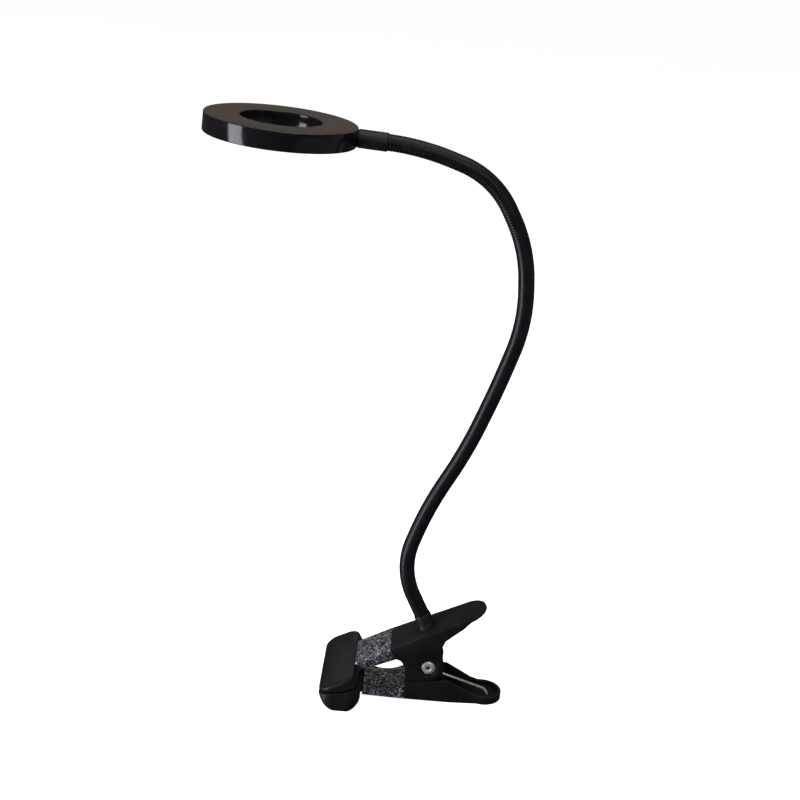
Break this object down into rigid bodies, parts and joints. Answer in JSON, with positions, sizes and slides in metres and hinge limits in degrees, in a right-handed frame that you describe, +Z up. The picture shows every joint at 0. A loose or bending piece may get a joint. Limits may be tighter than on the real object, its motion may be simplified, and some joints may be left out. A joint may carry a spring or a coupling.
{
  "type": "clip-on ultraviolet curing lamp",
  "caption": "Ring-shaped ultraviolet lamp for curing resin, on a bendable gooseneck that stands in a spring clip with rubber-padded jaws.",
  "frame": {"origin": "middle of the flat land under the clip's front foot, on the bench", "axes": "+X from the foot to the clip's handles, +Y across the clip, +Z up"},
  "size_m": [0.1833, 0.08, 0.3297],
  "materials": {
    "housing_black": "gloss, with a satin brown-black top face",
    "board_white": "satin white solder mask",
    "led_pale": "gloss",
    "chip_black": "matte",
    "diffuser_frost": "frosted",
    "fastener_steel": "bright zinc",
    "ferrule_black": "satin black",
    "lead_red": "matte",
    "neck_black": "satin black over fine ribs",
    "clip_black": "satin moulded black",
    "pad_rubber": "matte grooved",
    "sleeve_speckle": "fine silver and grey speckle",
    "rivet_steel": "satin",
    "spring_steel": "drawn wire",
    "grommet_rubber": "matte"
  },
  "bodies": {
    "lower": {"lower_jaw": "clip_black", "lower_grip_pad": "pad_rubber", "lower_sleeve": "sleeve_speckle", "pivot_rivet": "rivet_steel", "torsion_spring": "spring_steel"},
    "upper": {"upper_jaw": "clip_black", "upper_grip_pad": "pad_rubber", "upper_sleeve": "sleeve_speckle", "base_ferrule": "ferrule_black", "base_washer": "fastener_steel", "base_nut": "fastener_steel", "cord_grommet": "grommet_rubber", "gooseneck_root": "neck_black", "lead_root": "lead_red"},
    "neck_1": {"gooseneck_link_1": "neck_black", "lead_1": "lead_red"},
    "neck_2": {"gooseneck_link_2": "neck_black", "lead_2": "lead_red"},
    "neck_3": {"gooseneck_link_3": "neck_black", "lead_3": "lead_red"},
    "neck_4": {"gooseneck_link_4": "neck_black", "lead_4": "lead_red"},
    "neck_5": {"gooseneck_link_5": "neck_black", "lead_5": "lead_red"},
    "neck_6": {"gooseneck_link_6": "neck_black", "lead_6": "lead_red"},
    "neck_7": {"gooseneck_link_7": "neck_black", "lead_7": "lead_red"},
    "head": {"gooseneck_link_8": "neck_black", "lead_8": "lead_red", "head_housing": "housing_black", "led_board": "board_white", "uv_leds": "led_pale", "chip_resistors": "chip_black", "diffuser_ring": "diffuser_frost", "board_screws": "fastener_steel", "head_ferrule": "ferrule_black", "ferrule_nut": "fastener_steel", "head_lead": "lead_red"}
  },
  "joints": [
    {"name": "jaw_pivot", "type": "hinge", "parent": "lower", "child": "upper", "pos_m": [0.0483, 0, 0.022], "axis": [0, 1, 0], "range_deg": [0, 40], "stiffness_Nm_per_rad": 1.2, "springref_deg": -28.65, "deforming": ["torsion_spring"]},
    {"name": "bend_1", "type": "hinge", "parent": "upper", "child": "neck_1", "pos_m": [0.03866, 0, 0.05721], "axis": [0, 1, 0], "range_deg": [-25, 25]},
    {"name": "bend_2", "type": "hinge", "parent": "neck_1", "child": "neck_2", "pos_m": [0.03366, 0, 0.09567], "axis": [-0.9521, 0, 0.3057], "range_deg": [-25, 25]},
    {"name": "bend_3", "type": "hinge", "parent": "neck_2", "child": "neck_3", "pos_m": [0.04865, 0, 0.1327], "axis": [0, 1, 0], "range_deg": [-25, 25]},
    {"name": "bend_4", "type": "hinge", "parent": "neck_3", "child": "neck_4", "pos_m": [0.06504, 0, 0.16914], "axis": [-0.9397, 0, 0.342], "range_deg": [-25, 25]},
    {"name": "bend_5", "type": "hinge", "parent": "neck_4", "child": "neck_5", "pos_m": [0.07777, 0, 0.20706], "axis": [0, 1, 0], "range_deg": [-25, 25]},
    {"name": "bend_6", "type": "hinge", "parent": "neck_5", "child": "neck_6", "pos_m": [0.08294, 0, 0.24645], "axis": [-0.9971, 0, -0.0767], "range_deg": [-25, 25]},
    {"name": "bend_7", "type": "hinge", "parent": "neck_6", "child": "neck_7", "pos_m": [0.07257, 0, 0.2847], "axis": [0, 1, 0], "range_deg": [-25, 25]},
    {"name": "bend_8", "type": "hinge", "parent": "neck_7", "child": "head", "pos_m": [0.04385, 0, 0.31095], "axis": [-0.3173, 0, -0.9483], "range_deg": [-25, 25]}
  ]
}
